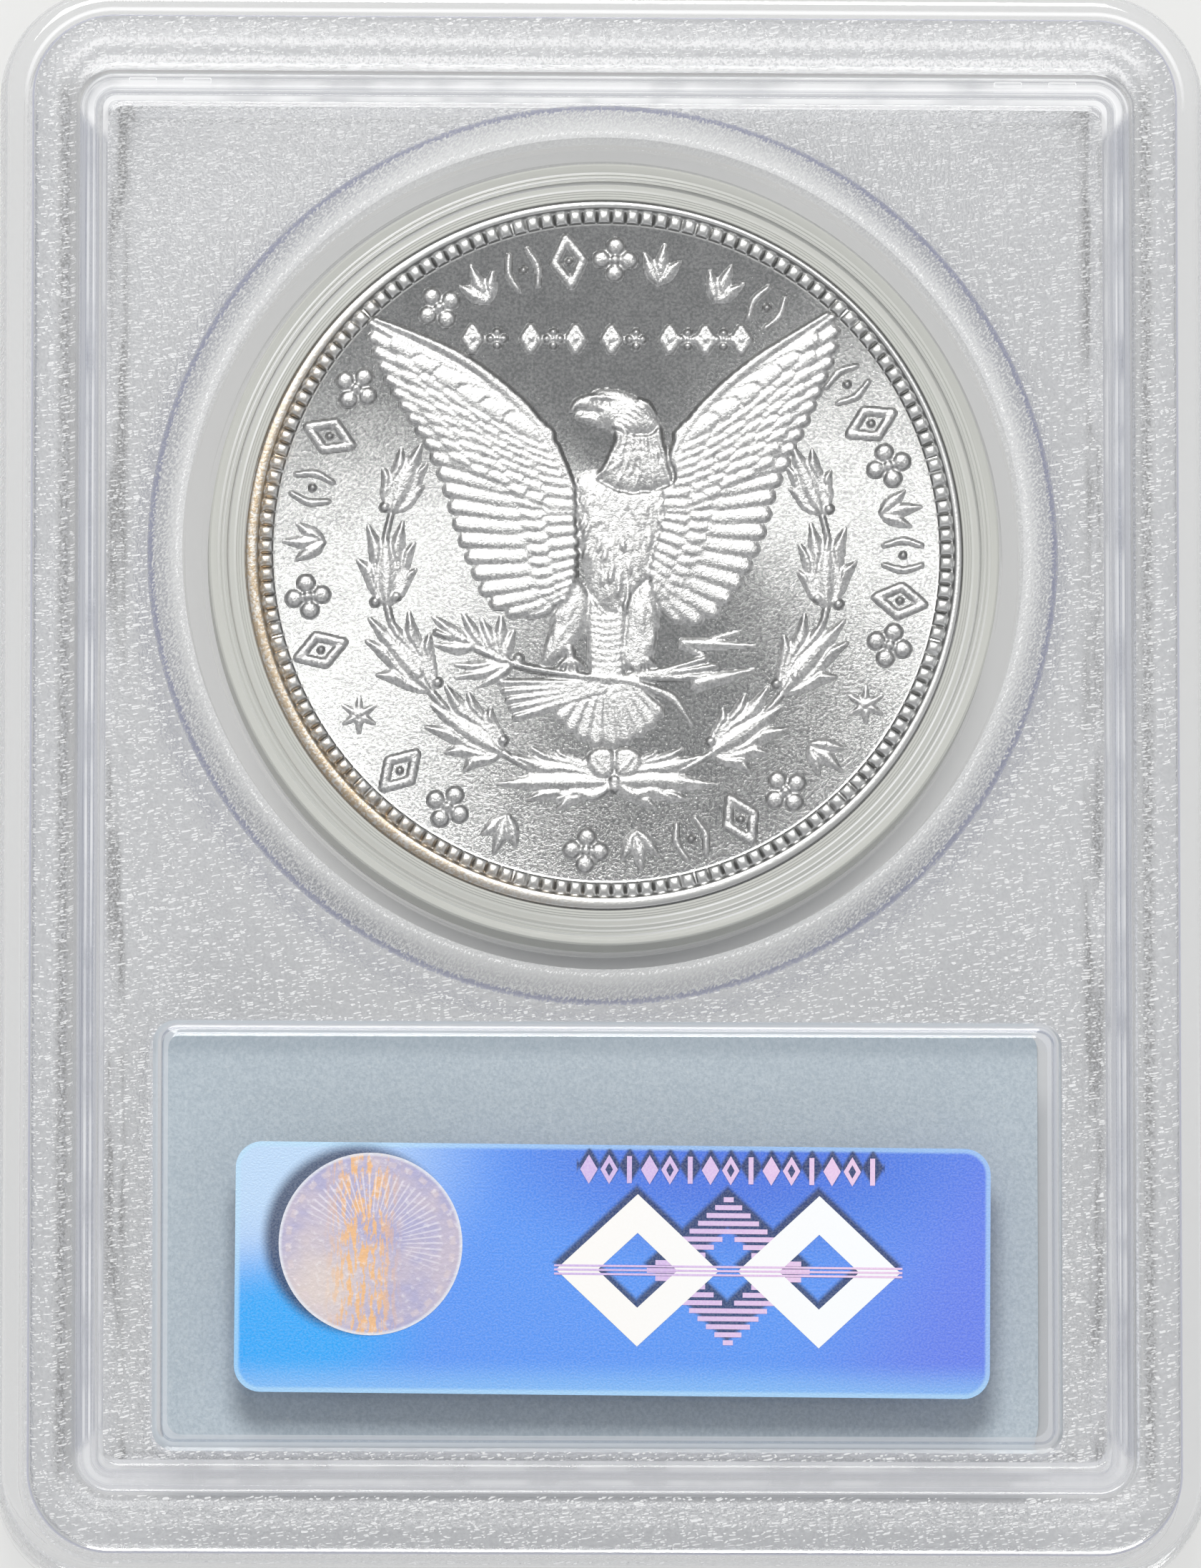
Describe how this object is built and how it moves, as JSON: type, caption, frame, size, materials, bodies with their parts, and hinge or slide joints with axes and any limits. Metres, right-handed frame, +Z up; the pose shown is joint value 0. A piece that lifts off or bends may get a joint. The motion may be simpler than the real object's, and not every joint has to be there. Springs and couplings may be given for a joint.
{
  "type": "graded coin slab",
  "caption": "Flat clear plastic holder that seals a silver coin in a clear ring between welded shells, with a paper label, a foil sticker on the back and a raised ridge for stacking.",
  "frame": {"origin": "middle of the bottom of the box, on the plane that the front rim rests on", "axes": "+Z up out of the back of the slab, +Y towards the coin end, -Y towards the label end"},
  "size_m": [0.0642, 0.0856, 0.008],
  "materials": {
    "clear_plastic": "clear moulded plastic, polished windows and edges, fine frosted texture on the ridge and field",
    "clear_ring": "clear moulded ring with turned steps",
    "coin_silver": "struck silver with cartwheel lustre and light golden toning at the rim",
    "label_paper": "matt paper card, blue-grey with a fine speckle",
    "sticker_foil": null
  },
  "bodies": {
    "root": {"rear_shell": "clear_plastic", "front_shell": "clear_plastic", "coin_gasket": "clear_ring", "coin": "coin_silver", "label_insert": "label_paper", "hologram_sticker": "sticker_foil"}
  },
  "joints": []
}
